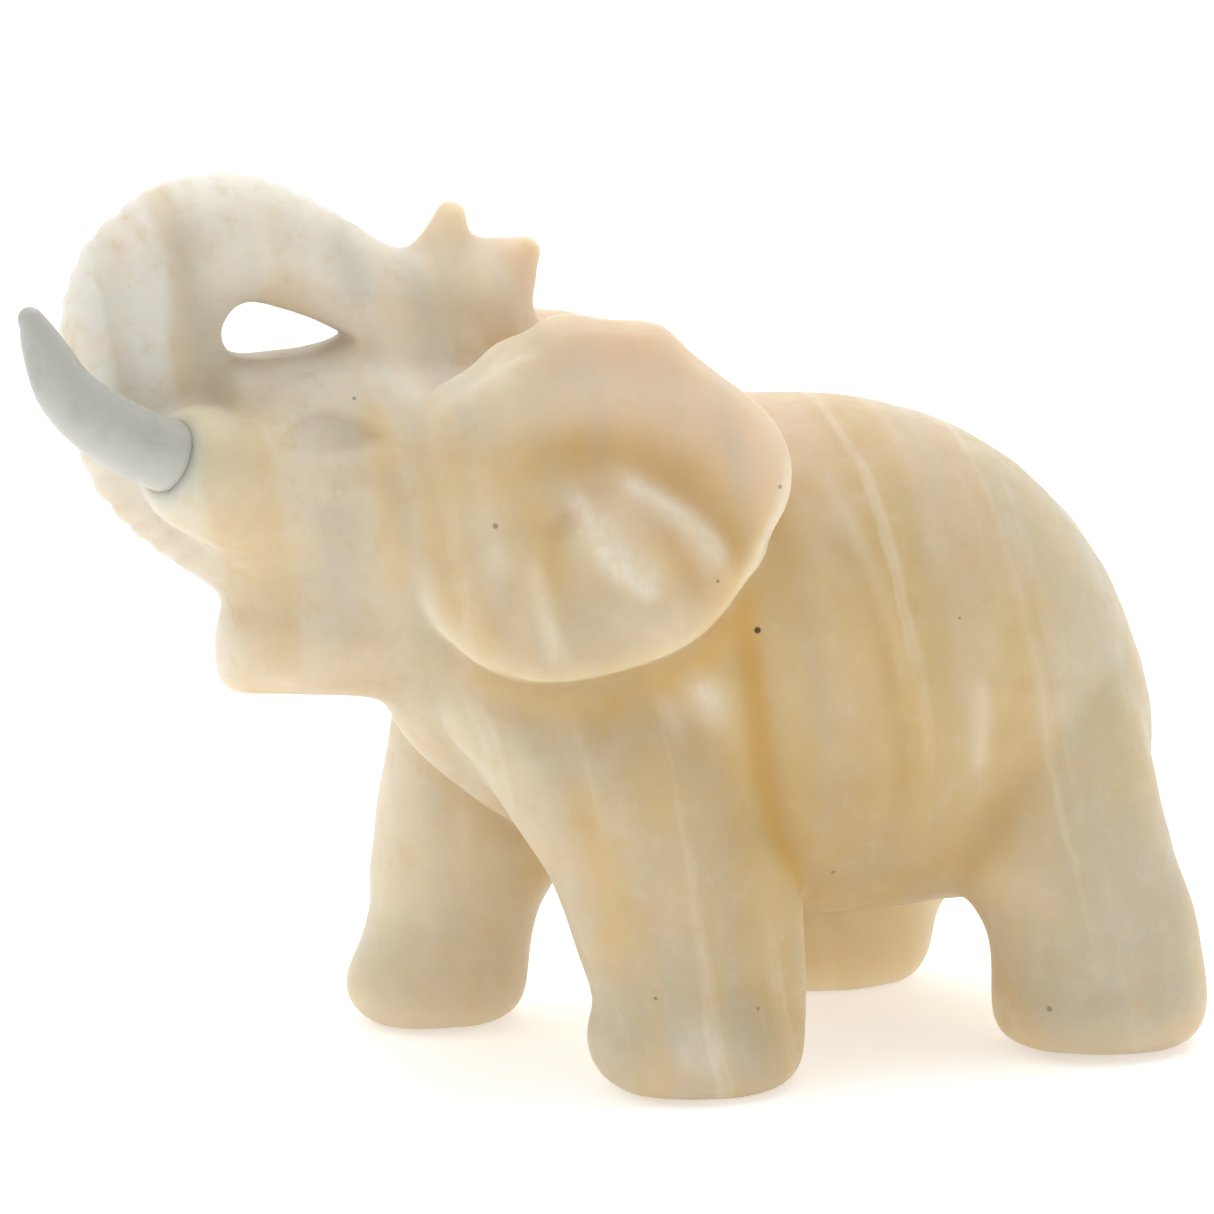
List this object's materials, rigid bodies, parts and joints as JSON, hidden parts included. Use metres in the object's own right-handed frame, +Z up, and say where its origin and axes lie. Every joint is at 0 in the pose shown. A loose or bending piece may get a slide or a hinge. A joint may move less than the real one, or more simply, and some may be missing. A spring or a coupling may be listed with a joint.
{
  "type": "carved elephant figurine",
  "caption": "Standing elephant figurine carved from one block of banded pale stone, trunk thrown up over the brow, with pinned tusks bedded in the cheeks.",
  "frame": {"origin": "on the ground, under the middle of the bounding box of the whole piece", "axes": "+X towards the tail, head towards -X; -Y towards the animal's own left; +Z up"},
  "size_m": [0.0998, 0.038, 0.0751],
  "materials": {
    "banded_stone": "polished, slightly translucent, banded",
    "tusk_white": "cast resin, satin white",
    "adhesive": "cured clear-amber adhesive"
  },
  "bodies": {
    "root": {"carved_body": "banded_stone", "left_tusk": "tusk_white", "right_tusk": "tusk_white", "left_tusk_glue": "adhesive", "right_tusk_glue": "adhesive"}
  },
  "joints": []
}
